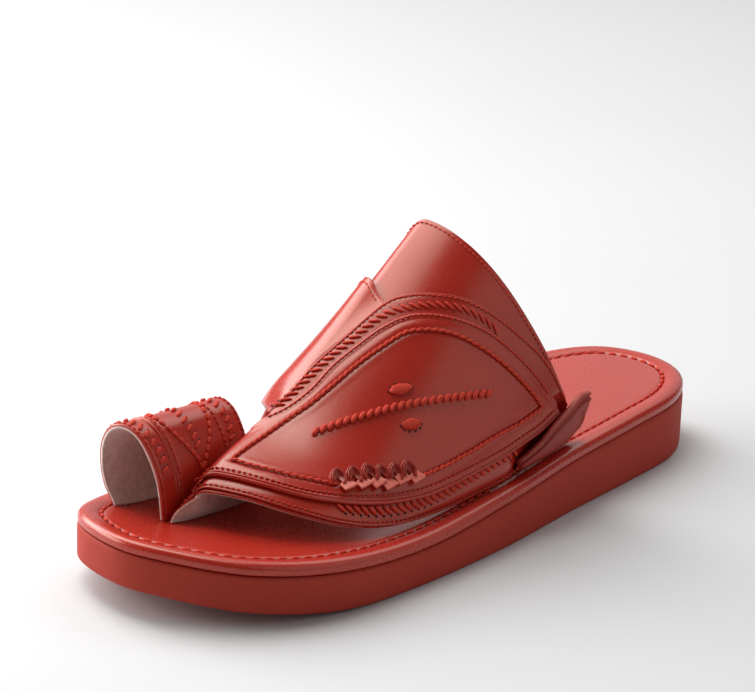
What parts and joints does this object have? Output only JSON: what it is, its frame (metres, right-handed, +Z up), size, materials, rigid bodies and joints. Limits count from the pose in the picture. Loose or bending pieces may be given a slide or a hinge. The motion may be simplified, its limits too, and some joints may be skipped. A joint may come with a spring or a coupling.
{
  "type": "toe-loop slide sandal",
  "caption": "Left red leather slide sandal with a big-toe loop, a layered leaf-shaped vamp, a stitched footbed and a thick foam sole, open at toe and heel.",
  "frame": {"origin": "bottom centre of the bounding box, on the floor under the sole", "axes": "+Z up, +Y towards the heel, toe towards -Y, lateral side towards +X"},
  "size_m": [0.1006, 0.28, 0.1037],
  "materials": {
    "outsole_foam": "matte, finely speckled moulded foam",
    "footbed_leather": "semi-gloss smooth leather",
    "upper_leather": "semi-gloss smooth leather",
    "knot_leather": "satin leather strip",
    "lining_leather": "matte grey lining",
    "thread": "waxed thread"
  },
  "bodies": {
    "root": {"outsole": "outsole_foam", "footbed": "footbed_leather", "upper": "upper_leather", "medial_overlay": "upper_leather", "leaf_outer": "upper_leather", "leaf_inner": "upper_leather", "toe_loop": "upper_leather", "lateral_thong": "upper_leather", "knot_1": "knot_leather", "knot_2": "knot_leather", "knot_3": "knot_leather", "knot_4": "knot_leather", "knot_5": "knot_leather", "knot_6": "knot_leather"}
  },
  "joints": []
}
